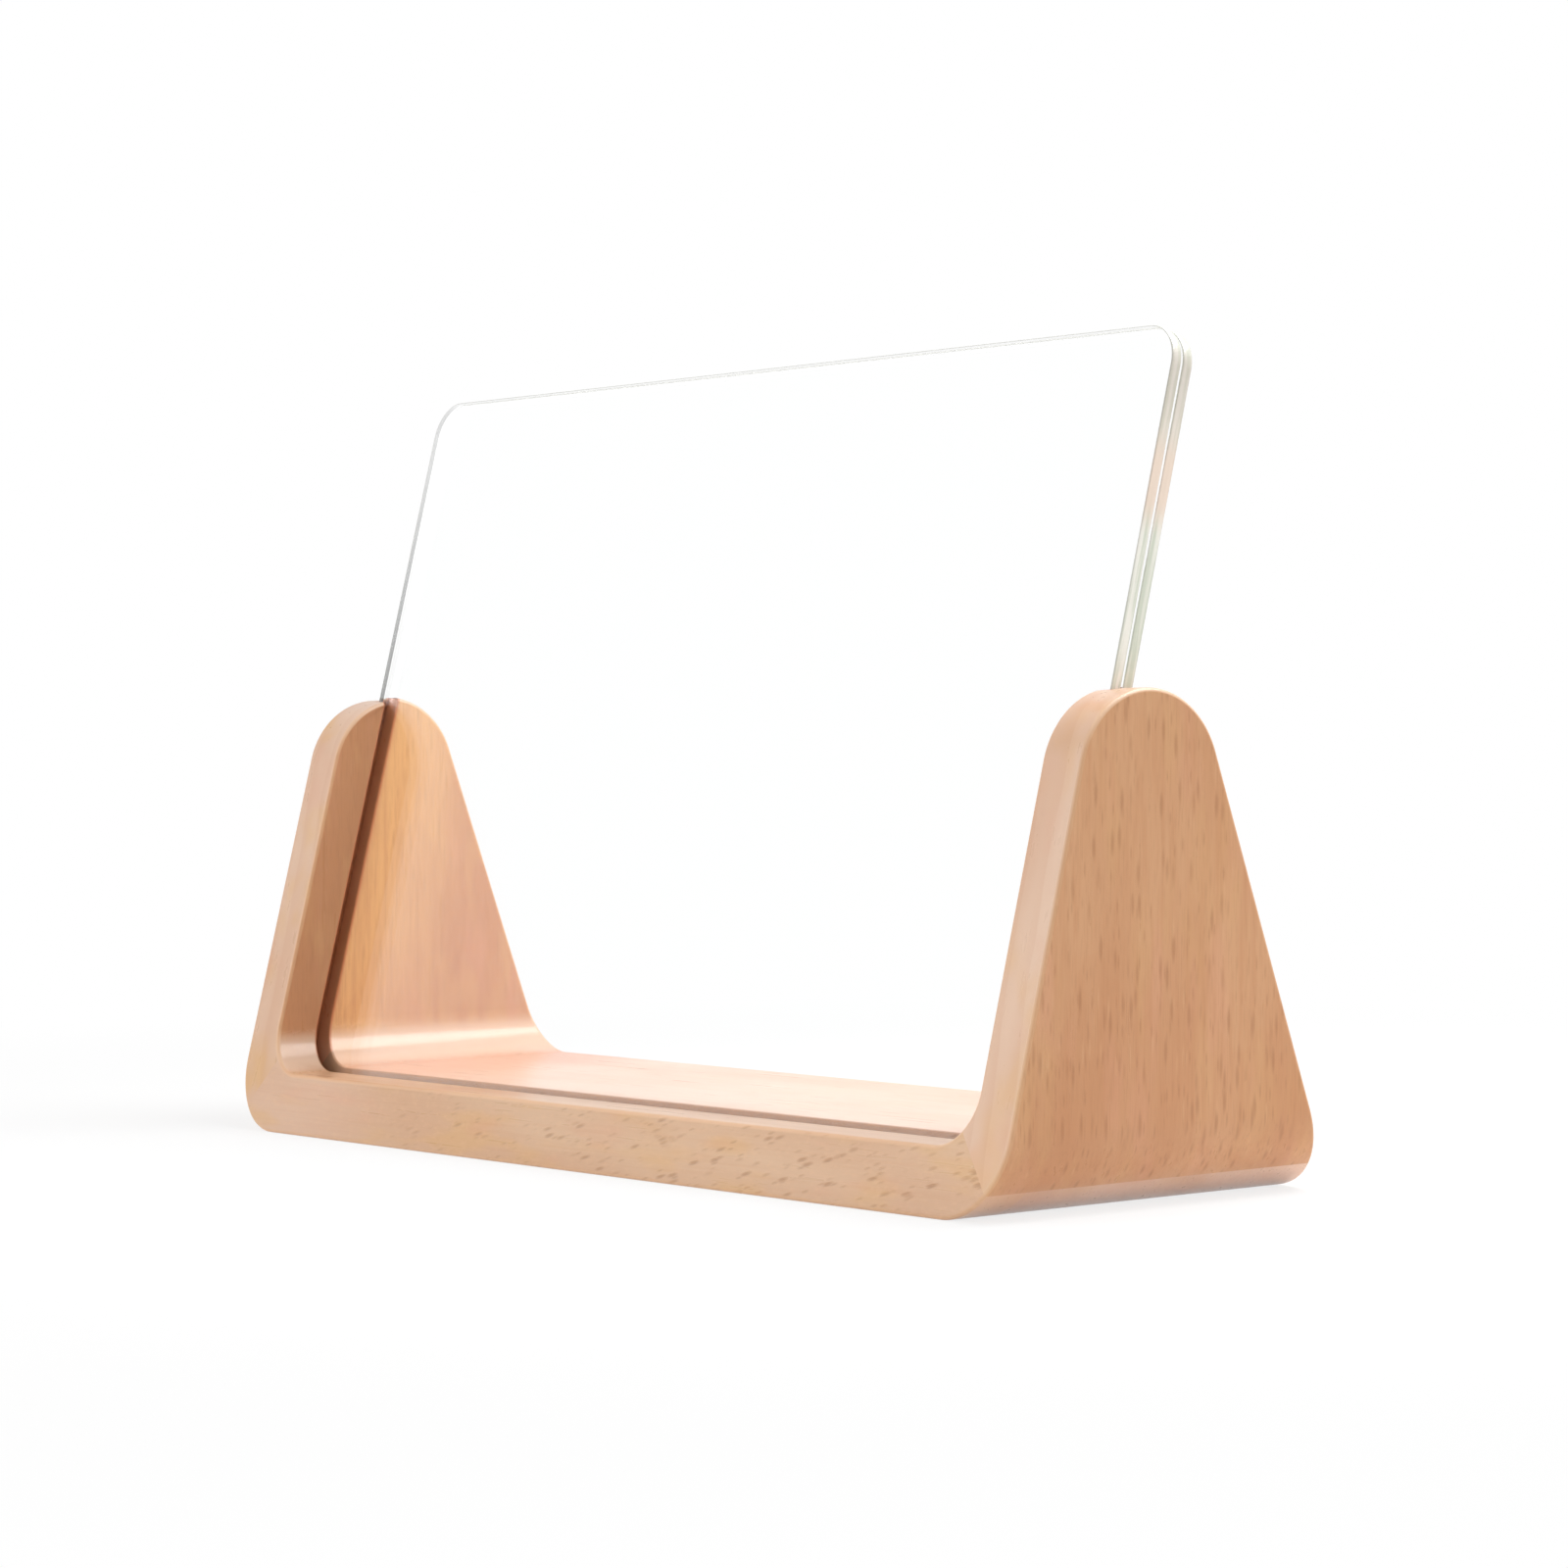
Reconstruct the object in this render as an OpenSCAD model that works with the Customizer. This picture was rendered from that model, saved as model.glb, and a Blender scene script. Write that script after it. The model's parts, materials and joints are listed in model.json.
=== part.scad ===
// U-shaped photo frame: a beech stand of three mitred boards, with two clear panes
// that stand in one slanted groove and hold a print between them.
// X runs along the width, Y runs back, Z runs up. The origin is the middle of the
// face that the stand rests on.

/* [Print] */
// Width of the print, which is also the clear width between the uprights
print_w = 152.4; // [120:0.1:200]
// Height of the print
print_h = 101.6; // [85:0.1:150]

/* [Stand] */
// Depth of the stand where it rests
stand_d = 53.5; // [46:0.5:70]
// Height of the uprights
upright_h = 60.5; // [50:0.5:68]
// Thickness of the two upright boards
upright_t = 7; // [6:0.1:10]
// Thickness of the base board
base_t = 8.2; // [7.5:0.1:12]
// Lean of the front face and of the groove from plumb, in degrees
front_lean = 15; // [10:0.5:18]
// Lean of the rear face from plumb, in degrees
rear_lean = 19; // [12:0.5:20]
// Radius of the two outer corners of the U
outer_corner_r = 10; // [6:0.5:12]
// Radius of the two fillets inside the U
inner_corner_r = 6.6; // [4:0.2:8]

/* [Groove] */
// Distance from the front face to the middle of the groove, square to both
groove_set = 8.1; // [6:0.1:9.5]
// Depth of the groove in the base board
groove_depth = 3.8; // [3:0.1:4.2]
// Depth of the groove in the uprights
side_groove_depth = 2.5; // [1.5:0.1:4.2]
// Radius at the two bottom corners of the groove
groove_corner_r = 3.4; // [2:0.1:3.6]

/* [Panes] */
// Thickness of each pane
pane_t = 1.5; // [1:0.1:2]
// Radius of the corners of the panes
pane_corner_r = 5; // [4:0.2:8]
// Height of the panes above the print's top edge
pane_margin = 0.5; // [0.5:0.1:5]
// Gap between the panes, for the print
print_gap = 0.3; // [0.2:0.05:0.5]
// Clearance between a pane and the side of the groove
face_gap = 0.1; // [0.05:0.05:0.2]
// Clearance between a pane's upright edge and the groove's end
edge_gap = 0.2; // [0.1:0.05:0.4]

/* [Corner tongues] */
// Thickness of the loose tongue hidden in each mitre
tongue_t = 2; // [1.5:0.1:2.5]
// Width of a tongue across the mitre
tongue_w = 5; // [4:0.2:6]
// Length of a tongue along the mitre
tongue_l = 30; // [20:1:32]
// Wood left between the groove and the tongue
tongue_set = 3; // [2:0.5:4]
// Room for glue at the ends and edges of a tongue
glue_room = 0.2; // [0.1:0.05:0.3]

/* [Hidden] */
$fn = 96;

// How far cuts run past the wood
overrun = 10;
// Share of its radius by which a round cuts a square corner back, along the diagonal
round_share = sqrt(2) - 1;
// How many board thicknesses the mitre planes are drawn past the corners
mitre_reach_share = 3;

stand_w = print_w + 2 * upright_t;
groove_w = 2 * pane_t + print_gap + 2 * face_gap;
pane_w = print_w + 2 * (side_groove_depth - edge_gap);
pane_h = print_h + pane_margin;

// Round top of an upright: one circle that touches both slanted faces and the top
lean_sum = tan(front_lean) + tan(rear_lean);
secant_sum = 1 / cos(front_lean) + 1 / cos(rear_lean);
top_r = (stand_d - lean_sum * upright_h) / (secant_sum - lean_sum);
top_z = upright_h - top_r;
top_y = top_z * tan(front_lean) + top_r / cos(front_lean) - stand_d / 2;

// Where the pair of panes stands: the middle of the groove's floor
seat_z = base_t - groove_depth;
seat_y = seat_z * tan(front_lean) + groove_set / cos(front_lean) - stand_d / 2;

// Mitre from the inner corner of the U to its outer corner
mitre_l = norm([upright_t, base_t]);
mitre_angle = atan2(base_t, upright_t);
tongue_from_corner = (mitre_l + round_share * (outer_corner_r + inner_corner_r)) / 2;
tongue_x = stand_w / 2 - tongue_from_corner * cos(mitre_angle);
tongue_z = tongue_from_corner * sin(mitre_angle);
// The groove's rear side at the height of the tongue's top edge
tongue_top_z = tongue_z + (tongue_t + tongue_w) / 2;
groove_rear_y = tongue_top_z * tan(front_lean) - stand_d / 2
    + (groove_set + groove_w / 2) / cos(front_lean);
tongue_y = groove_rear_y + tongue_set;

wood = [0.85, 0.67, 0.51];
dark_wood = [0.72, 0.52, 0.36];
clear = [0.86, 0.92, 0.9, 0.35];

// Side view of the stand, Y to the right and Z up: slanted front and rear, round top
module side_outline() {
    front_touch = [top_y - top_r * cos(front_lean), top_z + top_r * sin(front_lean)];
    rear_touch = [top_y + top_r * cos(rear_lean), top_z + top_r * sin(rear_lean)];
    polygon([[-stand_d / 2, 0], [stand_d / 2, 0], rear_touch, front_touch]);
    translate([top_y, top_z]) circle(r = top_r);
}

// Upright rectangle whose two lower corners are round, standing on the X axis
module round_foot(width, height, corner_r) {
    translate([-width / 2, corner_r]) square([width, height - corner_r]);
    translate([corner_r - width / 2, 0]) square([width - 2 * corner_r, height]);
    for (side = [-1, 1])
        translate([side * (width / 2 - corner_r), corner_r]) circle(r = corner_r);
}

// The whole U as one block of wood, before grooving and mitring
module u_block() {
    intersection() {
        rotate([90, 0, 90]) linear_extrude(stand_w + 2 * overrun, center = true) side_outline();
        rotate([90, 0, 0]) linear_extrude(stand_d + 2 * overrun, center = true) difference() {
            round_foot(stand_w, upright_h + overrun, outer_corner_r);
            translate([0, base_t])
                round_foot(print_w, upright_h + 2 * overrun, inner_corner_r);
        }
    }
}

// Places what is drawn standing on the groove's floor, leaning as the panes lean
module in_groove() {
    translate([0, seat_y, seat_z]) rotate([-front_lean, 0, 0]) children();
}

// The slot that runs down one upright, along the base and up the other
module groove() {
    in_groove() rotate([90, 0, 0]) linear_extrude(groove_w, center = true)
        round_foot(pane_w + 2 * edge_gap, 2 * upright_h, groove_corner_r);
}

// A tongue across the mitre at one end of the base, or with room added its pocket
module tongue(side, room) {
    translate([side * tongue_x, tongue_y - room, tongue_z])
        rotate([0, side * mitre_angle, 0])
            translate([-tongue_t / 2, 0, -tongue_w / 2 - room])
                cube([tongue_t, tongue_l + 2 * room, tongue_w + 2 * room]);
}

// The mitre plane's two far points at one end, past the inner and the outer corner
function mitre_in(side) = [side * (print_w / 2 - mitre_reach_share * upright_t),
    (1 + mitre_reach_share) * base_t];
function mitre_out(side) = [side * (stand_w / 2 + mitre_reach_share * upright_t),
    -mitre_reach_share * base_t];

// Keeps the part of its children that lies inside an outline seen from the front
module seen_from_front(points) {
    intersection() {
        children();
        rotate([90, 0, 0]) linear_extrude(stand_d + overrun, center = true) polygon(points);
    }
}

module base_board() {
    color(wood) difference() {
        seen_from_front([mitre_out(-1), mitre_out(1), mitre_in(1), mitre_in(-1)]) u_block();
        groove();
        for (side = [-1, 1]) tongue(side, glue_room);
    }
}

module upright(side) {
    above = upright_h + overrun;
    color(wood) difference() {
        seen_from_front([mitre_out(side), [mitre_out(side).x, above],
            [mitre_in(side).x, above], mitre_in(side)]) u_block();
        groove();
        tongue(side, glue_room);
    }
}

module left_upright() { upright(-1); }
module right_upright() { upright(1); }

module left_tongue() { color(dark_wood) tongue(-1, 0); }
module right_tongue() { color(dark_wood) tongue(1, 0); }

// One clear sheet with round corners; side is -1 for the front one, 1 for the rear one
module pane(side) {
    color(clear) in_groove()
        translate([0, side * (print_gap + pane_t) / 2, 0])
            rotate([90, 0, 0]) linear_extrude(pane_t, center = true) {
                translate([-pane_w / 2, pane_corner_r])
                    square([pane_w, pane_h - 2 * pane_corner_r]);
                translate([pane_corner_r - pane_w / 2, 0])
                    square([pane_w - 2 * pane_corner_r, pane_h]);
                for (x = [-1, 1], z = [pane_corner_r, pane_h - pane_corner_r])
                    translate([x * (pane_w / 2 - pane_corner_r), z]) circle(r = pane_corner_r);
            }
}

module front_pane() { pane(-1); }
module rear_pane() { pane(1); }

base_board();
left_upright();
right_upright();
left_tongue();
right_tongue();
front_pane();
rear_pane();
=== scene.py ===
import json
import math

import bmesh
import bpy
from bpy.props import FloatProperty, FloatVectorProperty, IntProperty, PointerProperty
from bpy.types import Operator, Panel, PropertyGroup
from mathutils import Matrix, Vector


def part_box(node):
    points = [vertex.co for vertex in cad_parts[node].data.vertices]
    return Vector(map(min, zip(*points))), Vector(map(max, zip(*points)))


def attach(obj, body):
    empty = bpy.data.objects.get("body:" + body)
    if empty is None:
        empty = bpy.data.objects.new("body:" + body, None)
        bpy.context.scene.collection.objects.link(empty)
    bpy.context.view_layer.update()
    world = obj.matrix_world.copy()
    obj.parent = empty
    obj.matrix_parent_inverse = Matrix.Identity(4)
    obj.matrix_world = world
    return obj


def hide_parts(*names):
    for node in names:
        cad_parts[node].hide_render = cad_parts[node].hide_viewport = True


bl_info = {
    "name": "U-shaped photo frame",
    "version": (1, 0, 0),
    "blender": (4, 5, 0),
    "location": "3D View > Sidebar > Photo frame",
    "description": "Beech stand with a slanted groove and two clear panes that hold a print",
    "category": "Object",
}

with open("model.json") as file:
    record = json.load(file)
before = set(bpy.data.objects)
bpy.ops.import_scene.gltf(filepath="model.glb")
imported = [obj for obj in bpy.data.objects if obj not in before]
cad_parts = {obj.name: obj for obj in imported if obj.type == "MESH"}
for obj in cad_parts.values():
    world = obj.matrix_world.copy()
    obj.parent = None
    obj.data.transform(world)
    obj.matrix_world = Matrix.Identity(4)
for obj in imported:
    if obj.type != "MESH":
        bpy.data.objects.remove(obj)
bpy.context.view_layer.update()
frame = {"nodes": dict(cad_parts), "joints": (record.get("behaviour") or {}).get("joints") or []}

MM = 0.001
STAND = "stand"
BOARDS = ("base_board", "left_upright", "right_upright")
TONGUES = ("left_tongue", "right_tongue")
PANE_BODIES = {"front_pane": "front_sheet", "rear_pane": "rear_sheet"}

# Height and depth of the rough block, as shares of the stand's
ROUGH_HEIGHT_SHARE = 1.2
ROUGH_DEPTH_SHARE = 1.5

# Flats that the small rounds are made of
RIM_FLATS = 4
LIP_FLATS = 2
POLISH_FLATS = 2

# Turn between two faces from which the edge between them is rounded or, at a joint, kept
# sharp
LIP_TURN = math.radians(50)
RIM_TURN = math.radians(40)
JOINT_TURN = math.radians(35)
PANE_TURN = math.radians(60)

# The panes slide along their joint's axis, so it gives the lean of the groove
slide = Vector(frame["joints"][0]["axis"])
LEAN = math.atan2(slide.y, slide.z)

board_low, board_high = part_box("base_board")
left_low, left_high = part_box("left_upright")
right_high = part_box("right_upright")[1]


def lying(low, high):
    """Height and thickness of a leaning sheet, from the two corners of its box."""
    deep = high.y - low.y
    tall = high.z - low.z
    scale = math.cos(2 * LEAN)
    height = (tall * math.cos(LEAN) - deep * math.sin(LEAN)) / scale
    thick = (deep * math.cos(LEAN) - tall * math.sin(LEAN)) / scale
    return height, thick


class StandSizes(PropertyGroup):
    """Sizes of the beech stand."""

    width: FloatProperty(
        name="Width", description="Overall width of the stand",
        default=right_high.x - left_low.x, min=0.1, unit="LENGTH")
    depth: FloatProperty(
        name="Depth", description="Depth of the stand where it rests",
        default=board_high.y - board_low.y, min=0.03, unit="LENGTH")
    height: FloatProperty(
        name="Height", description="Height of the uprights",
        default=left_high.z, min=0.03, unit="LENGTH")
    upright_t: FloatProperty(
        name="Upright thickness", description="Thickness of the two upright boards",
        default=7 * MM, min=0.004, unit="LENGTH")
    base_t: FloatProperty(
        name="Base thickness", description="Thickness of the base board",
        default=8.2 * MM, min=0.005, unit="LENGTH")
    front_lean: FloatProperty(
        name="Front lean", description="Lean of the front face and of the groove",
        default=LEAN, unit="ROTATION", subtype="ANGLE")
    rear_lean: FloatProperty(
        name="Rear lean", description="Lean of the rear face",
        default=math.radians(19), unit="ROTATION", subtype="ANGLE")
    outer_corner_r: FloatProperty(
        name="Outer corner", description="Radius of the two outer corners of the U",
        default=10 * MM, min=0.002, unit="LENGTH")
    inner_corner_r: FloatProperty(
        name="Inner corner", description="Radius of the two fillets inside the U",
        default=6.6 * MM, min=0.002, unit="LENGTH")
    groove_set: FloatProperty(
        name="Groove set", description="From the front face to the middle of the groove",
        default=8.1 * MM, min=0.003, unit="LENGTH")
    groove_w: FloatProperty(
        name="Groove width", description="Width of the groove for the two panes",
        default=3.5 * MM, min=0.001, unit="LENGTH")
    groove_depth: FloatProperty(
        name="Groove depth", description="Depth of the groove in the base board",
        default=3.8 * MM, min=0.001, unit="LENGTH")
    side_groove_depth: FloatProperty(
        name="Side groove depth", description="Depth of the groove in the uprights",
        default=2.5 * MM, min=0.001, unit="LENGTH")
    groove_corner_r: FloatProperty(
        name="Groove corner", description="Radius at the two bottom corners of the groove",
        default=3.4 * MM, min=0.001, unit="LENGTH")
    rim_round: FloatProperty(
        name="Rim rounding", description="Radius that the outer edges are sanded to",
        default=0.6 * MM, min=0.0001, unit="LENGTH")
    lip_round: FloatProperty(
        name="Lip rounding", description="Radius at the two lips of the groove",
        default=0.4 * MM, min=0.0001, unit="LENGTH")
    glue_room: FloatProperty(
        name="Glue room", description="Room round a tongue in its pocket",
        default=0.2 * MM, min=0.0, unit="LENGTH")
    steps: IntProperty(
        name="Steps", description="Flats that a quarter round is made of",
        default=24, min=4, max=64)


class PaneSizes(PropertyGroup):
    """Sizes of the clear panes that the frame doesn't give."""

    corner_r: FloatProperty(
        name="Corner", description="Radius of the corners of a pane",
        default=5 * MM, min=0.001, unit="LENGTH")
    polish: FloatProperty(
        name="Edge polish", description="Width that the sharp edges are polished back",
        default=0.15 * MM, min=0.0001, unit="LENGTH")


def shade(red, green, blue):
    """A colour given in the 0 to 255 numbers of a screen, as Blender's linear values."""
    values = []
    for number in (red, green, blue):
        share = number / 255
        values.append(share / 12.92 if share < 0.04045 else ((share + 0.055) / 1.055) ** 2.4)
    return tuple(values)


class WoodColours(PropertyGroup):
    """Colours of the oiled beech, with the painted glow, sheen, highlights and groove shade laid
    on it.
    """

    pale: FloatVectorProperty(
        name="Pale wood", description="Lightest bands of the beech",
        subtype="COLOR", size=3, min=0, max=1, default=shade(225, 176, 132))
    beige: FloatVectorProperty(
        name="Beige wood", description="Cooler, paler tone of the base board",
        subtype="COLOR", size=3, min=0, max=1, default=shade(222, 184, 150))
    # Blond is also the painted highlight on the fillets
    blond_and_fillet_highlight: FloatVectorProperty(
        name="Blond wood", description="Palest, pinkish tone of narrow faces and fillets",
        subtype="COLOR", size=3, min=0, max=1, default=shade(230, 195, 168))
    # Painted sheen: the base board's top painted paler where light glances off it
    top_sheen: FloatVectorProperty(
        name="Satin wood", description="Pale, finely sanded tone of the base board's top",
        subtype="COLOR", size=3, min=0, max=1, default=shade(236, 208, 188))
    # Cut wood: painted shade, a darker reddish brown laid in the groove
    cut: FloatVectorProperty(
        name="Cut wood", description="Reddish brown that the cutter leaves in the groove",
        subtype="COLOR", size=3, min=0, max=1, default=shade(208, 122, 76))
    heart: FloatVectorProperty(
        name="Heart wood", description="Darker, redder bands of the beech",
        subtype="COLOR", size=3, min=0, max=1, default=shade(202, 141, 96))
    honey: FloatVectorProperty(
        name="Honey tint", description="Yellowish clouds in the beech",
        subtype="COLOR", size=3, min=0, max=1, default=shade(224, 176, 116))
    # Painted golden glow: light painted onto the wood just behind the groove
    painted_glow: FloatVectorProperty(
        name="Golden tint", description="Golden wood just behind the groove",
        subtype="COLOR", size=3, min=0, max=1, default=shade(240, 188, 126))
    rose: FloatVectorProperty(
        name="Rose tint", description="Pinkish clouds in the beech",
        subtype="COLOR", size=3, min=0, max=1, default=shade(224, 160, 128))
    fleck: FloatVectorProperty(
        name="Fleck", description="Rays and pores that show as dark flecks",
        subtype="COLOR", size=3, min=0, max=1, default=shade(160, 104, 62))
    # Sanded rim: partly wear and partly a painted highlight on the rounded edges; it also paints
    # the highlight on the base board's front lip
    rim: FloatVectorProperty(
        name="Sanded rim", description="Rounded edges, sanded paler",
        subtype="COLOR", size=3, min=0, max=1, default=shade(240, 196, 154))


class PaneColours(PropertyGroup):
    """Colours painted on the polished edges of the panes: the sheet's green, and painted glow,
    reflection and shade.
    """

    # Painted glow: the pale colour that a lit clear edge shows
    cream_glow: FloatVectorProperty(
        name="Cream", description="Pale cream of a polished edge",
        subtype="COLOR", size=3, min=0, max=1, default=shade(244, 242, 232))
    green: FloatVectorProperty(
        name="Green", description="Green grey in the depth of the sheet",
        subtype="COLOR", size=3, min=0, max=1, default=shade(212, 217, 200))
    # Painted reflection of the wood in the edge
    wood_reflection: FloatVectorProperty(
        name="Blush", description="Warm tint that the edge borrows from the wood",
        subtype="COLOR", size=3, min=0, max=1, default=shade(240, 218, 200))
    # Painted shade lines of the edge
    grey: FloatVectorProperty(
        name="Grey", description="Grey line along the corners of a sheet",
        subtype="COLOR", size=3, min=0, max=1, default=shade(140, 142, 140))


class StudioSettings(PropertyGroup):
    """Light and floor of the studio."""

    ambient: FloatProperty(
        name="Ambient", description="Strength of the even light from all round",
        default=0.485, min=0, max=2)
    key: FloatProperty(
        name="Key power", description="Power of the small lamp above and behind, in watts",
        default=1.05, min=0)
    fill: FloatProperty(
        name="Fill power", description="Power of the large lamp in front, in watts",
        default=3.35, min=0)
    floor: FloatVectorProperty(
        name="Floor", description="Colour of the floor",
        subtype="COLOR", size=3, min=0, max=1, default=shade(250, 250, 250))


class Value:
    """A node's output on which Python's own arithmetic works."""

    def __init__(self, shader, socket):
        self.shader = shader
        self.socket = socket

    def maths(self, operation, *others):
        values = dict(enumerate((self,) + others))
        return self.shader.node("ShaderNodeMath", {"operation": operation}, values)

    def __add__(self, other):
        return self.maths("ADD", other)

    def __sub__(self, other):
        return self.maths("SUBTRACT", other)

    def __rsub__(self, other):
        return (self * -1).maths("ADD", other)

    def __mul__(self, other):
        return self.maths("MULTIPLY", other)

    def __truediv__(self, other):
        return self.maths("DIVIDE", other)

    __radd__ = __add__
    __rmul__ = __mul__

    def also(self, name):
        """Another output of the same node."""
        return Value(self.shader, self.socket.node.outputs[name])

    def between(self, low, high):
        """0 below low, 1 above high and smooth between; falls instead if high is lower."""
        falls = high < low
        ends = (high, low) if falls else (low, high)
        out = (1.0, 0.0) if falls else (0.0, 1.0)
        return self.shader.node(
            "ShaderNodeMapRange", {"interpolation_type": "SMOOTHSTEP"},
            {"Value": self, "From Min": ends[0], "From Max": ends[1],
             "To Min": out[0], "To Max": out[1]})


class Shader:
    """The nodes of one material or of the world."""

    def __init__(self, owner):
        owner.use_nodes = True
        self.tree = owner.node_tree
        self.tree.nodes.clear()

    def node(self, kind, settings=None, values=None, output=0):
        """Adds a node: its settings first, then its sockets' values or links."""
        made = self.tree.nodes.new(kind)
        for name, setting in (settings or {}).items():
            setattr(made, name, setting)
        for name, value in (values or {}).items():
            if isinstance(value, Value):
                self.tree.links.new(value.socket, made.inputs[name])
            else:
                made.inputs[name].default_value = value
        return Value(self, made.outputs[output]) if made.outputs else None

    def mix(self, factor, first, second):
        """Two colours mixed by a factor."""
        ends = [c if isinstance(c, Value) else (*c, 1) for c in (first, second)]
        return self.node("ShaderNodeMix", {"data_type": "RGBA"},
                         {0: factor, 6: ends[0], 7: ends[1]}, 2)


def placed(name, bm, materials, body, stands_for=None):
    """Turns a finished bmesh into a piece that rides on its body."""
    mesh = bpy.data.meshes.new(name)
    bm.to_mesh(mesh)
    bm.free()
    for material in materials:
        mesh.materials.append(material)
    piece = bpy.data.objects.new(name, mesh)
    bpy.context.scene.collection.objects.link(piece)
    if body:
        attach(piece, body)
    if stands_for:
        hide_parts(stands_for)
    return piece


def settle_normals(piece):
    """Keeps flat faces flat beside the rounds that run into them."""
    weigh = piece.modifiers.new("weighted_normals", "WEIGHTED_NORMAL")
    weigh.mode = "FACE_AREA"
    weigh.keep_sharp = True


def carve(bm, cutter):
    """Takes one closed bmesh out of another."""
    things = []
    for part in (bm, cutter):
        mesh = bpy.data.meshes.new("carving")
        part.to_mesh(mesh)
        part.free()
        thing = bpy.data.objects.new("carving", mesh)
        bpy.context.scene.collection.objects.link(thing)
        things.append(thing)
    cut = things[0].modifiers.new("cut", "BOOLEAN")
    cut.operation = "DIFFERENCE"
    cut.solver = "EXACT"
    cut.object = things[1]
    shaped = things[0].evaluated_get(bpy.context.evaluated_depsgraph_get())
    left = bmesh.new()
    left.from_mesh(shaped.to_mesh())
    shaped.to_mesh_clear()
    for thing in things:
        mesh = thing.data
        bpy.data.objects.remove(thing)
        bpy.data.meshes.remove(mesh)
    return left


def slab(bm, corners, thickness):
    """Extrudes an outline in the XZ plane to both sides of it, along Y."""
    start = [bm.verts.new((x, -thickness / 2, z)) for x, z in corners]
    face = bm.faces.new(start)
    grown = bmesh.ops.extrude_face_region(bm, geom=[face])["geom"]
    far = [v for v in grown if isinstance(v, bmesh.types.BMVert)]
    bmesh.ops.translate(bm, verts=far, vec=(0, thickness, 0))
    bmesh.ops.recalc_face_normals(bm, faces=bm.faces)


def round_edges(bm, edges, radius, segments):
    """Rounds edges and returns the new faces."""
    return bmesh.ops.bevel(
        bm, geom=edges, offset=radius, offset_type="OFFSET", affect="EDGES",
        segments=segments, profile=0.5, material=-1, clamp_overlap=False)["faces"]


def edges_along_y(bm, x, z):
    """The edges that run along Y at one place of an outline, on both sides."""
    near = 1e-6
    found = []
    for edge in bm.edges:
        a, b = (v.co for v in edge.verts)
        level = abs(a.z - z) < near and abs(b.z - z) < near
        if level and abs(abs(a.x) - x) < near and abs(abs(b.x) - x) < near and a.x * b.x > 0:
            found.append(edge)
    return found


def cut_off(bm, point, normal):
    """Planes away what lies beyond a plane and closes the cut."""
    everything = bm.verts[:] + bm.edges[:] + bm.faces[:]
    cut = bmesh.ops.bisect_plane(
        bm, geom=everything, dist=1e-7, plane_co=point, plane_no=normal, clear_outer=True)
    rim = [e for e in cut["geom_cut"] if isinstance(e, bmesh.types.BMEdge)]
    if rim:
        bmesh.ops.holes_fill(bm, edges=[e for e in rim if e.is_boundary])


def in_groove(sizes):
    """From upright to leaning, with the origin on the middle of the groove's floor."""
    seat_z = sizes.base_t - sizes.groove_depth
    seat_y = seat_z * math.tan(sizes.front_lean) - sizes.depth / 2
    seat_y += sizes.groove_set / math.cos(sizes.front_lean)
    lean = Matrix.Rotation(-sizes.front_lean, 4, "X")
    return Matrix.Translation((0, seat_y, seat_z)) @ lean


def u_block(sizes):
    """The whole U as one block of wood, before the groove is cut."""
    half = sizes.width / 2
    clear = half - sizes.upright_t
    bm = bmesh.new()
    above = ROUGH_HEIGHT_SHARE * sizes.height
    outline = [(-half, 0), (half, 0), (half, above), (clear, above), (clear, sizes.base_t),
               (-clear, sizes.base_t), (-clear, above), (-half, above)]
    slab(bm, outline, ROUGH_DEPTH_SHARE * sizes.depth)
    round_edges(bm, edges_along_y(bm, half, 0), sizes.outer_corner_r, sizes.steps)
    round_edges(bm, edges_along_y(bm, clear, sizes.base_t), sizes.inner_corner_r, sizes.steps)
    plane_side_outline(bm, sizes)
    return bm


def plane_side_outline(bm, sizes):
    """Planes the slanted front and rear and the round tops, flat by flat."""
    front, rear = sizes.front_lean, sizes.rear_lean
    lean_sum = math.tan(front) + math.tan(rear)
    secant_sum = 1 / math.cos(front) + 1 / math.cos(rear)
    radius = (sizes.depth - lean_sum * sizes.height) / (secant_sum - lean_sum)
    centre_z = sizes.height - radius
    centre_y = centre_z * math.tan(front) + radius / math.cos(front) - sizes.depth / 2
    centre = Vector((0, centre_y, centre_z))
    turns = 2 * sizes.steps
    for turn in range(turns + 1):
        angle = rear + (math.pi - front - rear) * turn / turns
        outward = Vector((0, math.cos(angle), math.sin(angle)))
        cut_off(bm, centre + radius * outward, outward)


def groove_end(sizes):
    """From the middle of the U to the floor of the groove in an upright."""
    return sizes.width / 2 - sizes.upright_t + sizes.side_groove_depth


def groove_cutter(sizes):
    """The slot that runs down one upright, along the base and up the other."""
    half = groove_end(sizes)
    bm = bmesh.new()
    above = 2 * sizes.height
    slab(bm, [(-half, 0), (half, 0), (half, above), (-half, above)], sizes.groove_w)
    round_edges(bm, edges_along_y(bm, half, 0), sizes.groove_corner_r, sizes.steps)
    bm.transform(in_groove(sizes))
    return bm


def sharp_edges(bm, least, convex_only=False):
    """The edges at which two faces turn by more than the least angle."""
    found = []
    for edge in bm.edges:
        if len(edge.link_faces) == 2 and edge.calc_face_angle() > least:
            if edge.is_convex or not convex_only:
                found.append(edge)
    return found


def groove_lips(bm, sizes):
    """The sharp edges on the two sides of the groove, but not those on its floor."""
    back = in_groove(sizes).inverted()
    near = 0.02 * MM
    found = []
    for edge in sharp_edges(bm, LIP_TURN, convex_only=True):
        ends = [back @ v.co for v in edge.verts]
        if all(abs(abs(p.y) - sizes.groove_w / 2) < near for p in ends):
            found.append(edge)
    return found


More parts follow.
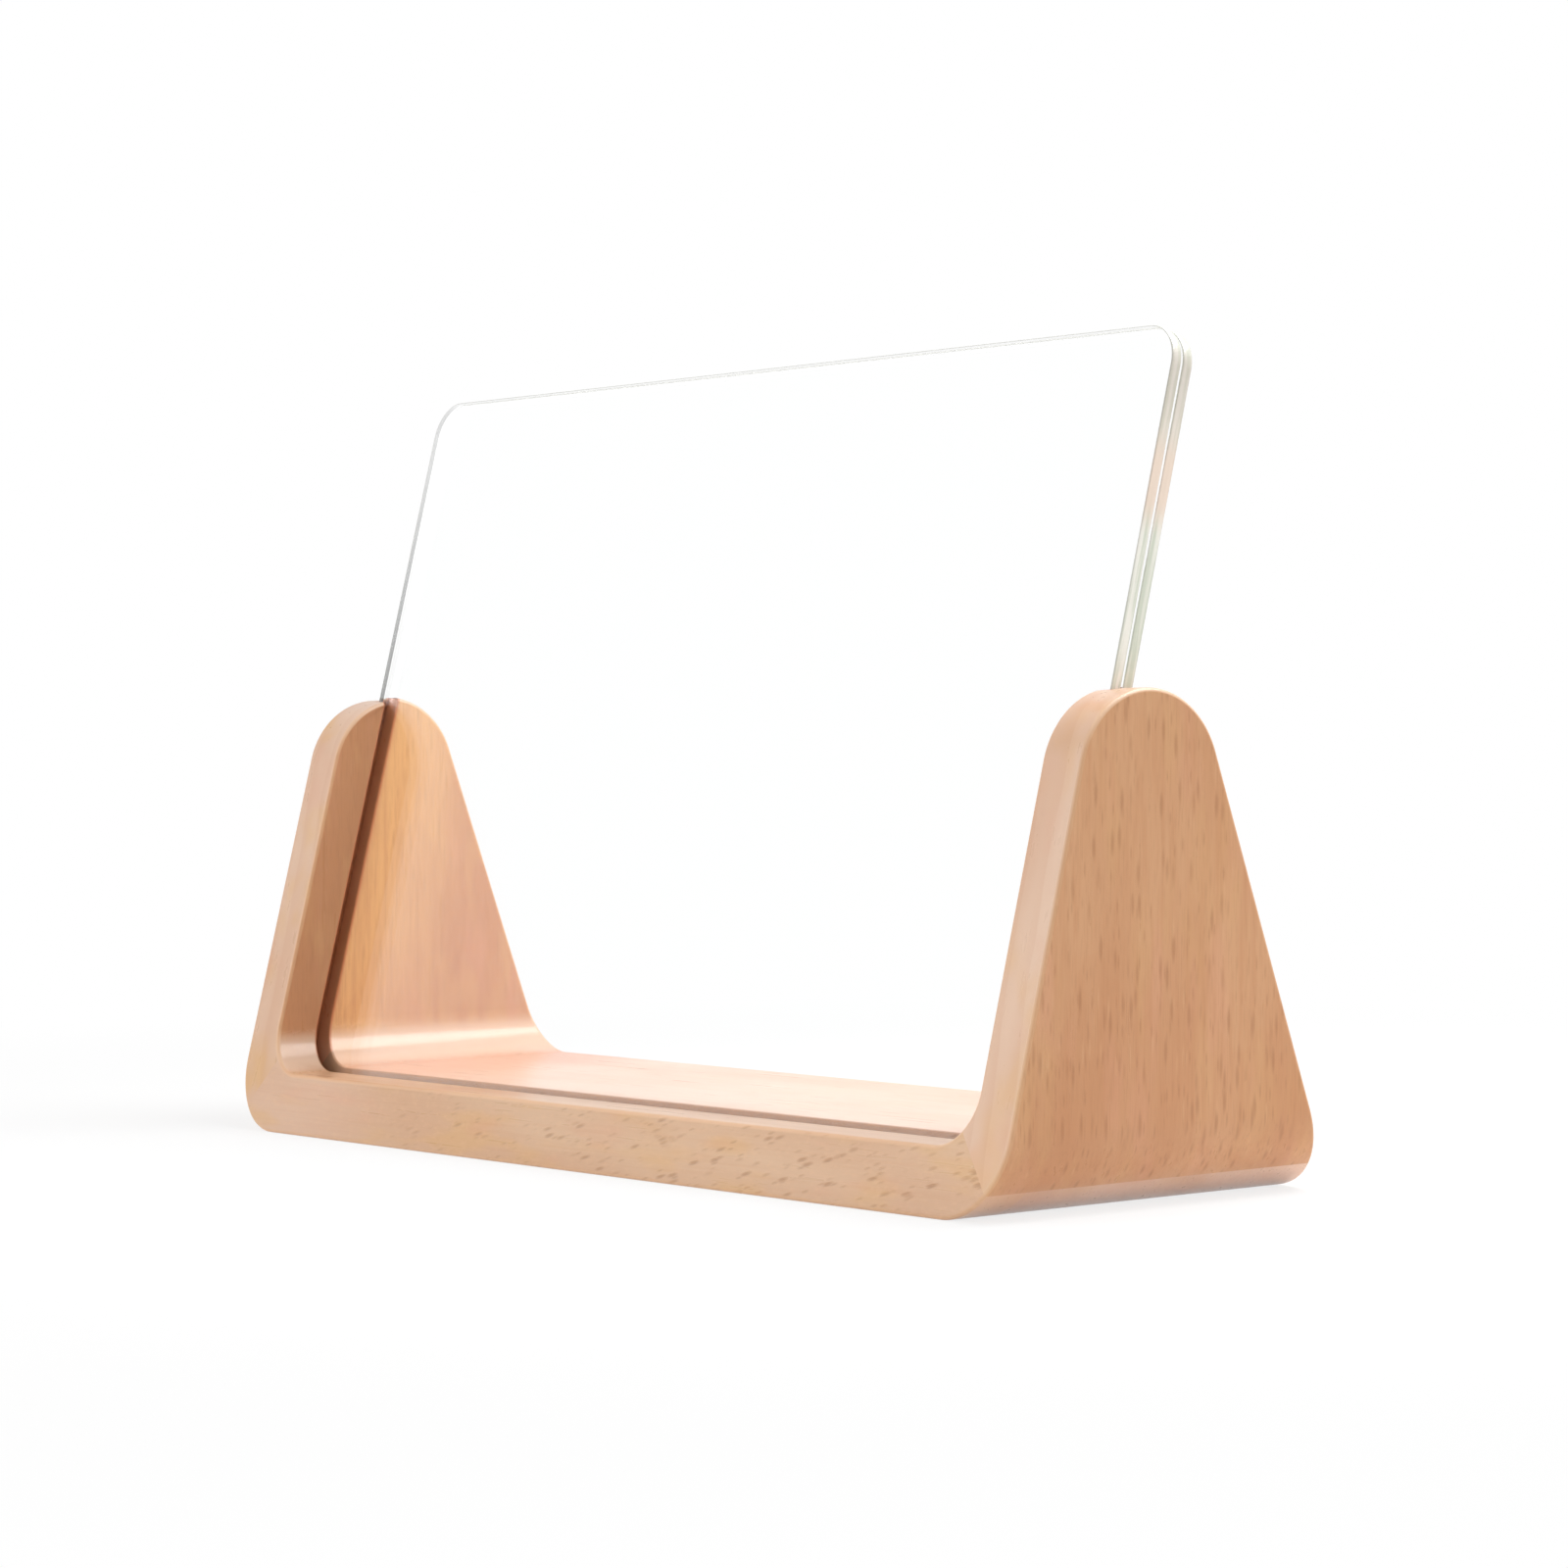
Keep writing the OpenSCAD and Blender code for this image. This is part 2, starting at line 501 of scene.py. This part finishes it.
def round_the_block(bm, sizes):
    """Sands the rims and the groove's lips and marks the sanded faces."""
    mark = bm.faces.layers.int.new("rim")
    lips = set(groove_lips(bm, sizes))
    rims = [e for e in sharp_edges(bm, RIM_TURN, convex_only=True) if e not in lips]
    for face in round_edges(bm, rims, sizes.rim_round, RIM_FLATS):
        face[mark] = 1
    for face in round_edges(bm, groove_lips(bm, sizes), sizes.lip_round, LIP_FLATS):
        face[mark] = 1
    # This layer paints the rounded edges paler: partly wear, partly a painted highlight
    rim_wear_and_highlight = bm.verts.layers.float.new("rim")
    for vert in bm.verts:
        vert[rim_wear_and_highlight] = float(all(face[mark] for face in vert.link_faces))


def mitre(sizes, side):
    """A point on one mitre plane, and its normal towards that end of the U."""
    outer = Vector((side * sizes.width / 2, 0, 0))
    inner = Vector((side * (sizes.width / 2 - sizes.upright_t), 0, sizes.base_t))
    along = (inner - outer).normalized()
    normal = Vector((side * along.z, 0, -side * along.x))
    return outer, normal * (1 if normal.x * side > 0 else -1)


def tongue_pocket(sizes, name):
    """The room cut for a tongue: the tongue's own shape, longer and wider by the glue room."""
    side = -1 if name == "left_tongue" else 1
    low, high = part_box(name)
    angle = math.atan2(sizes.base_t, sizes.upright_t)
    wide, tall = high.x - low.x, high.z - low.z
    scale = math.cos(angle) ** 2 - math.sin(angle) ** 2
    across = (wide * math.sin(angle) - tall * math.cos(angle)) / -scale
    thick = (wide * math.cos(angle) - tall * math.sin(angle)) / scale
    room = 2 * sizes.glue_room
    bm = bmesh.new()
    bmesh.ops.create_cube(bm, size=1)
    size = (abs(thick), high.y - low.y + room, abs(across) + room)
    bmesh.ops.scale(bm, vec=size, verts=bm.verts)
    turn = Matrix.Rotation(side * angle, 4, "Y")
    bm.transform(Matrix.Translation((low + high) / 2) @ turn)
    return bm


def finish_board(bm):
    """Smooth shading, with the joints' edges kept sharp."""
    for face in bm.faces:
        face.smooth = True
    for edge in bm.edges:
        edge.smooth = True
    for edge in sharp_edges(bm, JOINT_TURN):
        edge.smooth = False


def board(block, sizes, name):
    """Cuts one board out of the rounded block along its mitres."""
    bm = block.copy()
    if name == "base_board":
        for side in (-1, 1):
            point, normal = mitre(sizes, side)
            cut_off(bm, point, normal)
        for tongue in TONGUES:
            bm = carve(bm, tongue_pocket(sizes, tongue))
    else:
        side = -1 if name == "left_upright" else 1
        point, normal = mitre(sizes, side)
        cut_off(bm, point, -normal)
        bm = carve(bm, tongue_pocket(sizes, "left_tongue" if side < 0 else "right_tongue"))
    finish_board(bm)
    return bm


# In the materials below, the sizes of patterns are in millimetres. A pattern runs from
# 0 to 1: between() picks the part of it that shows, and a factor says how strongly.


def grain_space(shader, axes, tilt=0.0):
    """Object coordinates in millimetres: along the grain, across it and through the rings.

    The axes are named in that order, and the tilt turns the grain in the plane of the
    first two."""
    where = shader.node("ShaderNodeTexCoord", output="Object")
    split = shader.node("ShaderNodeSeparateXYZ", None, {0: where})
    along, across, through = (split.also(letter) * (1 / MM) for letter in axes)
    length = along * math.cos(tilt) + across * math.sin(tilt)
    width = across * math.cos(tilt) - along * math.sin(tilt)
    return length, width, through


def groove_space(shader, stand):
    """Place in millimetres from the middle of the groove's floor.

    Sideways, up the slope of the panes, and square to them towards the rear."""
    where = shader.node("ShaderNodeTexCoord", output="Object")
    split = shader.node("ShaderNodeSeparateXYZ", None, {0: where})
    back = in_groove(stand).inverted()
    rise = split.also("Y") * back[2][1] + split.also("Z") * back[2][2] + back[2][3]
    depth = split.also("Y") * back[1][1] + split.also("Z") * back[1][2] + back[1][3]
    return split.also("X") * (1 / MM), rise * (1 / MM), depth * (1 / MM)


def facing(shader, axis):
    """1 on faces square to an axis, 0 on those along it."""
    aslant, square = 0.45, 0.85
    normal = shader.node("ShaderNodeTexCoord", output="Normal")
    split = shader.node("ShaderNodeSeparateXYZ", None, {0: normal})
    return split.also(axis).maths("ABSOLUTE").between(aslant, square)


def scaled(shader, space, sizes, seed):
    """A place in a material, in units of a pattern's size in each direction."""
    axes = [axis / size for axis, size in zip(space, sizes)]
    return shader.node("ShaderNodeCombineXYZ", None,
                       {"X": axes[0], "Y": axes[1], "Z": axes[2] + seed})


def clouds(shader, space, sizes, seed, detail=2.0, roughness=0.5):
    """Noise whose clouds have the given size along, across and through, in mm."""
    return shader.node("ShaderNodeTexNoise", None,
                       {"Vector": scaled(shader, space, sizes, seed), "Scale": 1.0,
                        "Detail": detail, "Roughness": roughness})


def specks(shader, space, sizes, seed, reach, least):
    """Scattered spots, each in a cell of the given size.

    They reach so far from their cells' middles, and cells whose own number is under the
    least stay empty."""
    core, fade = 0.2 * reach, 0.25
    near = shader.node("ShaderNodeTexVoronoi", None,
                       {"Vector": scaled(shader, space, sizes, seed), "Scale": 1.0}, "Distance")
    number = shader.node("ShaderNodeSeparateColor", None, {"Color": near.also("Color")})
    return near.between(reach, core) * number.between(least, least + fade)


def growth_rings(shader, space, seed, rise):
    """Darker late wood of each ring; the rise turns rings into arches on a flat face."""
    along, across, through = space
    pith, spacing, wander = 55.0, 3.2, 5.0
    early, late, edge = 0.35, 0.95, 0.96
    warp = clouds(shader, space, (45, 9, 9), seed + 3, 2, 0.4)
    ring = ((through + pith) * (through + pith) + across * across).maths("SQRT")
    ring = (ring + along * rise + warp * wander) / spacing + seed
    ring = ring.maths("FRACT")
    return ring.between(early, late) * ring.between(1.0, edge)


def tinted_beech(shader, space, seed, redness, plain, honeyed):
    """Plain colour of the wood, redder in parts, with honey and rose clouds."""
    colours = bpy.context.scene.wood_colours
    tone = clouds(shader, space, (50, 12, 12), seed)
    base = shader.mix(tone.between(0.3, 0.75) * 0.40 + redness, plain, colours.heart)
    honey = clouds(shader, space, (16, 4, 8), seed + 23, 2)
    base = shader.mix(honey.between(0.50, 0.72) * honeyed, base, colours.honey)
    rose = clouds(shader, space, (14, 4, 8), seed + 29, 2)
    base = shader.mix(rose.between(0.52, 0.75) * 0.28, base, colours.rose)
    return base


def groove_shade_mask(shader):
    """Mask of the painted shade in the groove: 1 on the walls and the floor of the groove,
    fading out just over its lips, 0 on the rest of the wood.
    """
    stand = bpy.context.scene.stand_sizes
    aside, rise, depth = groove_space(shader, stand)
    wall = stand.groove_w / 2 / MM
    end = groove_end(stand) / MM
    between_walls = depth.maths("ABSOLUTE").between(wall + 0.5, wall + 0.2)
    between_ends = aside.maths("ABSOLUTE").between(end + 0.3, end + 0.1)
    above_floor = rise.between(-0.4, -0.2)
    return between_walls * between_ends * above_floor


def glow_behind_groove(shader):
    """Mask of the painted golden glow: 1 just behind the groove on the inner faces of the
    uprights, fading to the rear.
    """
    stand = bpy.context.scene.stand_sizes
    aside, _, depth = groove_space(shader, stand)
    inner_face = (stand.width / 2 - stand.upright_t) / MM
    inward = aside.maths("ABSOLUTE").between(inner_face + 3, inner_face + 1)
    start, full, fading, gone = 0.5, 3, 4, 22
    return depth.between(start, full) * depth.between(gone, fading) * inward


def on_fillet(shader):
    """1 where the fillets inside the U face half up and half inward, 0 on flat faces."""
    normal = shader.node("ShaderNodeTexCoord", output="Normal")
    split = shader.node("ShaderNodeSeparateXYZ", None, {0: normal})
    return (split.also("X").maths("ABSOLUTE") * split.also("Z")).between(0.1, 0.45)


def oiled(shader, base, gloss, height, cut):
    """Closes a wood material: rims painted paler, partly sanded wear and partly a painted
    highlight, fillets painted paler as a painted highlight, and painted shade in the groove.

    The fillets are sanded smoother than the rest, the rims a little rougher."""
    colours = bpy.context.scene.wood_colours
    fillet = on_fillet(shader)
    # Painted highlight: the fillets are painted paler where their finish catches the light
    base = shader.mix(fillet * 0.85, base, colours.blond_and_fillet_highlight)
    gloss = gloss - 0.12 * fillet
    rim = shader.node("ShaderNodeAttribute", {"attribute_name": "rim"}, output="Fac")
    # Rounded edges painted paler: partly sanded wear, partly a painted highlight
    base = shader.mix(rim.between(0.2, 1.0) * 0.35, base, colours.rim)
    # Painted shade: the groove darkened with the given colour
    base = shader.mix(groove_shade_mask(shader) * 0.85, base, cut)
    bump = shader.node("ShaderNodeBump", None,
                       {"Strength": 0.6, "Distance": 0.08 * MM, "Height": height})
    surface = shader.node(
        "ShaderNodeBsdfPrincipled", None,
        {"Base Color": base, "Roughness": gloss + 0.12 * rim, "Normal": bump, "IOR": 1.5})
    shader.node("ShaderNodeOutputMaterial", None, {"Surface": surface})


def upright_beech(name, seed, streaks, redness, honeyed, glow_strength):
    """Flat-sawn beech: long fibres, arched rings and short dark streaks on its broad faces.

    The last four say how strong the streaks are, how red the board is, how strong its honey
    clouds are, and how strong the painted golden glow is just behind the groove, which is light
    painted into the wood's colour."""
    colours = bpy.context.scene.wood_colours
    material = bpy.data.materials.new(name)
    shader = Shader(material)
    space = grain_space(shader, "ZYX", math.radians(1.5))
    broad = facing(shader, "X")

    ring = growth_rings(shader, space, seed, 0.12)
    fibre = clouds(shader, space, (18, 1.1, 1.1), seed + 5, 3, 0.6)
    hair = clouds(shader, space, (4, 0.22, 0.22), seed + 7, 2, 0.6)
    streak = specks(shader, space, (6.2, 1.20, 1.8), seed + 17, 0.36, 0.10)
    fine = specks(shader, space, (3.6, 0.65, 1.0), seed + 19, 0.36, 0.30)
    marks = streak.maths("MAXIMUM", fine * 0.7) * broad * streaks
    gleam = specks(shader, space, (6.5, 0.8, 1.4), seed + 21, 0.30, 0.40) * broad * streaks

    plain = shader.mix(broad, colours.blond_and_fillet_highlight, colours.pale)
    foot, head = 5, 50
    red = (space[0].between(head, foot) * 0.30 + redness) * broad
    base = tinted_beech(shader, space, seed, red, plain, honeyed + 0.3 * (1 - broad))
    # Painted golden glow: light painted onto the inner face just behind the groove
    base = shader.mix(glow_behind_groove(shader) * glow_strength * broad, base, colours.painted_glow)
    base = shader.mix(ring * 0.14, base, colours.heart)
    base = shader.mix(fibre.between(0.40, 0.75) * 0.45 * broad, base, colours.heart)
    base = shader.mix(hair.between(0.48, 0.75) * 0.16 * broad, base, colours.fleck)
    base = shader.mix(gleam * 0.30, base, colours.pale)
    base = shader.mix(marks * 0.38, base, colours.fleck)

    gloss = 0.24 + 0.10 * fibre + 0.08 * marks
    # The cut colour paints the shade in the upright's groove
    oiled(shader, base, gloss, fibre * 0.3 + hair * 0.2 - marks * 0.2, colours.cut)
    return material


def base_beech(name):
    """Quarter-sawn beech: tilted ray flecks in clusters, more of them towards the right."""
    colours = bpy.context.scene.wood_colours
    material = bpy.data.materials.new(name)
    shader = Shader(material)
    seed = 2.0
    space = grain_space(shader, "XZY")
    tilted = grain_space(shader, "XZY", math.radians(14))
    along = space[0]
    broad = facing(shader, "Y")
    left_end = along.between(-40, -62)
    to_the_right = along.between(-62, -12)

    fibre = clouds(shader, space, (22, 0.5, 0.6), seed + 5, 3, 0.6)
    mottle = clouds(shader, space, (1.6, 0.6, 0.6), seed + 9, 2, 0.7)
    patch = clouds(shader, tilted, (10, 2.6, 9), seed + 13, 1)
    thick = to_the_right * patch.between(0.33, 0.53)
    big = specks(shader, tilted, (4.0, 0.90, 2.8), seed + 15, 0.36, 0.10)
    small = specks(shader, tilted, (2.8, 0.60, 2.2), seed + 12, 0.36, 0.15)
    marks = big.maths("MAXIMUM", small * 0.6) * thick * broad

    top = facing(shader, "Z")
    plain = shader.mix(left_end * broad, colours.beige, colours.blond_and_fillet_highlight)
    # On the top, painted sheen: a paler colour and less honey stand in for light glancing off
    # it; the pink, strongest at the left end, is partly a painted reflection of the left upright
    plain = shader.mix(top, plain, colours.top_sheen)
    plain = shader.mix((0.35 + 0.55 * left_end) * top, plain, colours.rose)
    depth = groove_space(shader, bpy.context.scene.stand_sizes)[2]
    # Painted highlight: the strip of the top in front of the groove is painted in the pale rim
    # colour
    lip_highlight = depth.between(-1.9, -2.2) * top
    plain = shader.mix(lip_highlight * 0.7, plain, colours.rim)
    base = tinted_beech(shader, space, seed, 0.0, plain, 0.5 - 0.42 * top)
    base = shader.mix(fibre.between(0.42, 0.78) * 0.16, base, colours.heart)
    base = shader.mix(mottle.between(0.45, 0.75) * 0.18, base, colours.rim)
    base = shader.mix(marks * 0.45, base, colours.fleck)

    gloss = 0.24 + 0.10 * fibre + 0.10 * marks
    # The fleck colour also paints the shade in the base board's groove
    oiled(shader, base, gloss, fibre * 0.25 + mottle * 0.4 - marks * 2.0, colours.fleck)
    return material


def tongue_beech(name):
    """Plain sawn beech of the hidden tongues, rough from the saw."""
    colours = bpy.context.scene.wood_colours
    material = bpy.data.materials.new(name)
    shader = Shader(material)
    seed = 83.0
    space = grain_space(shader, "YZX")
    fibre = clouds(shader, space, (16, 0.4, 0.4), seed, 3, 0.6)
    saw = clouds(shader, space, (0.5, 3.0, 3.0), seed + 4, 2)
    base = tinted_beech(shader, space, seed, 0.35, colours.pale, 0.3)
    base = shader.mix(fibre.between(0.40, 0.80) * 0.35, base, colours.fleck)
    oiled(shader, base, 0.55 + 0.15 * fibre, fibre * 0.5 + saw * 0.5, colours.cut)
    return material


def clear_face(name, seed):
    """Polished face of clear acrylic, which bends the view and lets the lamps' light through."""
    material = bpy.data.materials.new(name)
    shader = Shader(material)
    where = shader.node("ShaderNodeTexCoord", output="Object")
    wipe = shader.node("ShaderNodeTexNoise", None,
                       {"Vector": where, "Scale": 60.0 + seed, "Detail": 3.0})
    slant = shader.node("ShaderNodeLayerWeight", None, {"Blend": 0.5}, "Facing")
    mirrored = 0.04 + 0.9 * slant.maths("POWER", 5.0)
    shadow = shader.node("ShaderNodeLightPath", output="Is Shadow Ray")
    surface = shader.node(
        "ShaderNodeBsdfPrincipled", None,
        {"Base Color": shader.mix(wipe, (1.0, 1.0, 1.0), (0.997, 1.0, 0.999)),
         "IOR": 1.49, "Transmission Weight": 1.0, "Specular Tint": (0.1, 0.1, 0.1, 1),
         "Roughness": wipe.between(0.5, 0.9) * 0.004,
         "Alpha": 1 - shadow * (1 - mirrored)})
    shader.node("ShaderNodeOutputMaterial", None, {"Surface": surface})
    return material


def clear_edge(name, seed, stand, middle, thick):
    """Polished edge of a clear sheet, whose middle and thickness are in millimetres.

    From outside it is nearly opaque and painted: a cream painted glow that faintly emits, the
    sheet's own green, warm painted reflections of the wood and grey painted shade lines. From
    inside, through the sheet, it shows as a thin painted grey line of shade, and in the groove
    as a painted reflection of the wood."""
    colours = bpy.context.scene.pane_colours
    wood = bpy.context.scene.wood_colours
    material = bpy.data.materials.new(name)
    shader = Shader(material)
    rear_sheet = middle > 0
    in_wood, above_wood, top = 50, 58, 100
    corner, edge = 74.0, 77.5
    aside, rise, depth = groove_space(shader, stand)
    free = rise.between(in_wood, above_wood)
    upright = aside.maths("ABSOLUTE").between(corner, edge)

    streak = clouds(shader, (depth, rise, 0), (0.714, 14.0, 1), seed)
    greened = streak.between(0.38, 0.62) + (0.5 * rise.between(82, 68) if rear_sheet else 0.0)
    # Bands of painted reflection of the wood, low and high on the edge
    low_reflection_band = rise.between(76, 81) * rise.between(90, 85)
    high_reflection_band = rise.between(85, 90) * rise.between(101, 97)
    border = (depth - middle).maths("ABSOLUTE").between(thick / 2 - 0.20, thick / 2 - 0.02)
    base = shader.mix(greened, colours.cream_glow, colours.green)
    base = shader.mix(low_reflection_band * 0.9 + high_reflection_band * 0.4, base, colours.wood_reflection)
    # Painted shade: grey towards the top of the edge and along the sheet's corners
    base = shader.mix(rise.between(84, 96) * 0.28, base, colours.grey)
    base = shader.mix(border * 0.40, base, colours.grey)
    outside = shader.node(
        "ShaderNodeBsdfPrincipled", None,
        {"Base Color": base, "Roughness": 0.12 + 0.1 * streak, "IOR": 1.49,
         # Painted glow: the edge emits faintly though it is no lamp
         "Emission Color": base, "Emission Strength": 0.12,
         "Alpha": 0.95})

    left = aside.between(-corner, -edge) * (0.06 if rear_sheet else 0.85)
    shown = left * (1.0 - 0.6 * rise.between(48, top)) + (1 - upright) * 0.08
    # Seen from inside: a painted reflection of the groove's wood below the top of the wood, a
    # painted grey line of shade above it
    seen = shader.mix(free, wood.cut, colours.grey)
    inside = shader.node(
        "ShaderNodeBsdfPrincipled", None,
        {"Base Color": seen, "Roughness": 0.3, "Alpha": shown * free + 0.3 * (1 - free)})
    turned = shader.node("ShaderNodeNewGeometry", output="Backfacing")
    surface = shader.node("ShaderNodeMixShader", None, {0: turned, 1: outside, 2: inside})
    shader.node("ShaderNodeOutputMaterial", None, {"Surface": surface})
    return material


class PHOTOFRAME_OT_stand(Operator):
    """Make the three beech boards of the stand."""

    bl_idname = "photo_frame.stand"
    bl_label = "Beech stand"

    def execute(self, context):
        sizes = context.scene.stand_sizes
        finishes = {
            "base_board": base_beech("beech_base"),
            # On the left board the high redness is partly the wood's tone and partly painted
            # warm light on its inner face
            "left_upright": upright_beech(
                "beech_left", seed=31.0, streaks=0.4, redness=0.92, honeyed=0.4, glow_strength=0.85),
            "right_upright": upright_beech(
                "beech_right", seed=57.0, streaks=1.0, redness=0.22, honeyed=0.2, glow_strength=0.0),
        }
        block = carve(u_block(sizes), groove_cutter(sizes))
        round_the_block(block, sizes)
        for name in BOARDS:
            bm = board(block, sizes, name)
            piece = placed("beech_" + name, bm, [finishes[name]], STAND, name)
            settle_normals(piece)
        block.free()
        return {"FINISHED"}


class PHOTOFRAME_OT_tongues(Operator):
    """Finish the loose tongues hidden in the mitres."""

    bl_idname = "photo_frame.tongues"
    bl_label = "Mitre tongues"

    def execute(self, context):
        plain = tongue_beech("beech_tongue")
        for name in TONGUES:
            node = frame["nodes"][name]
            node.data.materials.clear()
            node.data.materials.append(plain)
        return {"FINISHED"}


class PHOTOFRAME_OT_panes(Operator):
    """Make the two clear panes that stand in the groove."""

    bl_idname = "photo_frame.panes"
    bl_label = "Clear panes"

    def execute(self, context):
        sizes = context.scene.pane_sizes
        stand = context.scene.stand_sizes
        for seed, (name, body) in enumerate(PANE_BODIES.items()):
            bm, middle, thick = self.sheet(sizes, stand, name)
            finishes = [
                clear_face("acrylic_face_" + name, seed),
                clear_edge("acrylic_edge_" + name, seed, stand, middle / MM, thick / MM)]
            piece = placed("clear_" + name, bm, finishes, body, name)
            settle_normals(piece)
        return {"FINISHED"}

    @staticmethod
    def sheet(sizes, stand, name):
        """One sheet, with the place of its middle across the groove and its thickness."""
        low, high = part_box(name)
        height, thick = lying(low, high)
        half = (high.x - low.x) / 2
        bm = bmesh.new()
        slab(bm, [(-half, 0), (half, 0), (half, height), (-half, height)], thick)
        corners = edges_along_y(bm, half, 0) + edges_along_y(bm, half, height)
        round_edges(bm, corners, sizes.corner_r, stand.steps)
        round_edges(bm, sharp_edges(bm, PANE_TURN), sizes.polish, POLISH_FLATS)
        square = 0.99
        for face in bm.faces:
            face.smooth = True
            face.material_index = int(abs(face.normal.y) < square)
        middle = (in_groove(stand).inverted() @ ((low + high) / 2)).y
        bm.transform(in_groove(stand) @ Matrix.Translation((0, middle, 0)))
        return bm, middle, thick


class PHOTOFRAME_OT_studio(Operator):
    """Set the camera, the soft lamps, the even surroundings and the pale floor."""

    bl_idname = "photo_frame.studio"
    bl_label = "Studio"

    def execute(self, context):
        settings = context.scene.studio_settings
        context.scene.view_settings.view_transform = "Standard"
        self.camera(context)
        self.floor(settings)
        self.world(context, settings)
        target = Vector((-20 * MM, 0, 20 * MM))
        above_behind = Vector((0.085, 0.12, 0.30))
        far_left_front = Vector((-0.5, -0.9, 0.4))
        key_size, fill_size = 0.22, 0.6
        lamp("key", settings.key, key_size, above_behind, target)
        lamp("fill", settings.fill, fill_size, far_left_front, target)
        return {"FINISHED"}

    @staticmethod
    def camera(context):
        """The photograph's viewpoint, whose focal length is given in pixels of it."""
        azimuth, elevation, roll = (math.radians(a) for a in (52.08, 1.035, -0.79))
        focal_px, image_px = 4465.8, 1600
        distance = 572.78 * MM
        aside, level = 7.05 * MM, 48.70 * MM
        back = Vector((math.sin(azimuth) * math.cos(elevation),
                       -math.cos(azimuth) * math.cos(elevation), math.sin(elevation)))
        right = Vector((math.cos(azimuth), math.sin(azimuth), 0))
        turned = Matrix((right, back.cross(right), back)).transposed().to_4x4()
        turned = turned @ Matrix.Rotation(roll, 4, "Z")
        data = bpy.data.cameras.new("photo_view")
        data.sensor_width = 36
        data.lens = focal_px / image_px * data.sensor_width
        data.clip_start = 0.01
        camera = bpy.data.objects.new("photo_view", data)
        place = aside * right + Vector((0, 0, level)) + distance * back
        camera.matrix_world = Matrix.Translation(place) @ turned
        context.scene.collection.objects.link(camera)
        context.scene.camera = camera

    @staticmethod
    def floor(settings):
        """A pale floor that shows the frame's shadow and turns white away from it."""
        reach, near, far = 4.0, 0.12, 0.30
        bm = bmesh.new()
        bmesh.ops.create_grid(bm, x_segments=1, y_segments=1, size=reach)
        material = bpy.data.materials.new("studio_floor")
        shader = Shader(material)
        seen = seen_by_eye(shader)
        where = shader.node("ShaderNodeTexCoord", output="Object")
        away = shader.node("ShaderNodeVectorMath", {"operation": "LENGTH"}, {0: where}, "Value")
        matt = shader.node("ShaderNodeBsdfDiffuse", None, {"Color": (*settings.floor, 1)})
        white = shader.node("ShaderNodeEmission", None, {"Color": (1, 1, 1, 1), "Strength": 1.0})
        share = 0.80 + 0.20 * away.between(near, far)
        surface = shader.node("ShaderNodeMixShader", None, {0: seen * share, 1: matt, 2: white})
        shader.node("ShaderNodeOutputMaterial", None, {"Surface": surface})
        floor = placed("floor", bm, [material], None)

    @staticmethod
    def world(context, settings):
        """Even light from all round, which the eye sees as white."""
        world = bpy.data.worlds.new("even_light")
        context.scene.world = world
        shader = Shader(world)
        strength = settings.ambient + seen_by_eye(shader) * (1 - settings.ambient)
        sky = shader.node("ShaderNodeBackground", None,
                          {"Color": (1, 1, 1, 1), "Strength": strength})
        shader.node("ShaderNodeOutputWorld", None, {"Surface": sky})


def seen_by_eye(shader):
    """1 for what the camera sees straight, mirrored or through clear sheet, else 0."""
    ray = shader.node("ShaderNodeLightPath", output="Is Camera Ray")
    mirrored = ray.also("Is Glossy Ray").maths("MAXIMUM", ray.also("Is Transmission Ray"))
    return ray.maths("MAXIMUM", mirrored)


def lamp(name, power, size, place, target):
    """A square soft lamp aimed at a point."""
    data = bpy.data.lights.new(name, "AREA")
    data.energy = power
    data.size = size
    light = bpy.data.objects.new(name, data)
    light.location = place
    light.rotation_euler = (target - place).to_track_quat("-Z", "Y").to_euler()
    bpy.context.scene.collection.objects.link(light)


STEPS = (PHOTOFRAME_OT_studio, PHOTOFRAME_OT_stand, PHOTOFRAME_OT_tongues, PHOTOFRAME_OT_panes)
GROUPS = {"stand_sizes": StandSizes, "pane_sizes": PaneSizes, "wood_colours": WoodColours,
          "pane_colours": PaneColours, "studio_settings": StudioSettings}


class PHOTOFRAME_PT_panel(Panel):
    """Lists the steps and the sizes and colours of the photo frame."""

    bl_label = "Photo frame"
    bl_idname = "PHOTOFRAME_PT_panel"
    bl_space_type = "VIEW_3D"
    bl_region_type = "UI"
    bl_category = "Photo frame"

    def draw(self, context):
        layout = self.layout
        for step in STEPS:
            layout.operator(step.bl_idname)
        for name in GROUPS:
            group = getattr(context.scene, name)
            box = layout.box()
            for key in group.__annotations__:
                box.prop(group, key)


def register():
    for cls in (*GROUPS.values(), *STEPS, PHOTOFRAME_PT_panel):
        bpy.utils.register_class(cls)
    for name, group in GROUPS.items():
        setattr(bpy.types.Scene, name, PointerProperty(type=group))


def unregister():
    for name in GROUPS:
        delattr(bpy.types.Scene, name)
    for cls in reversed((*GROUPS.values(), *STEPS, PHOTOFRAME_PT_panel)):
        bpy.utils.unregister_class(cls)


def main():
    register()
    bpy.ops.photo_frame.studio()
    bpy.ops.photo_frame.stand()
    bpy.ops.photo_frame.tongues()
    bpy.ops.photo_frame.panes()


if __name__ == "__main__":
    main()
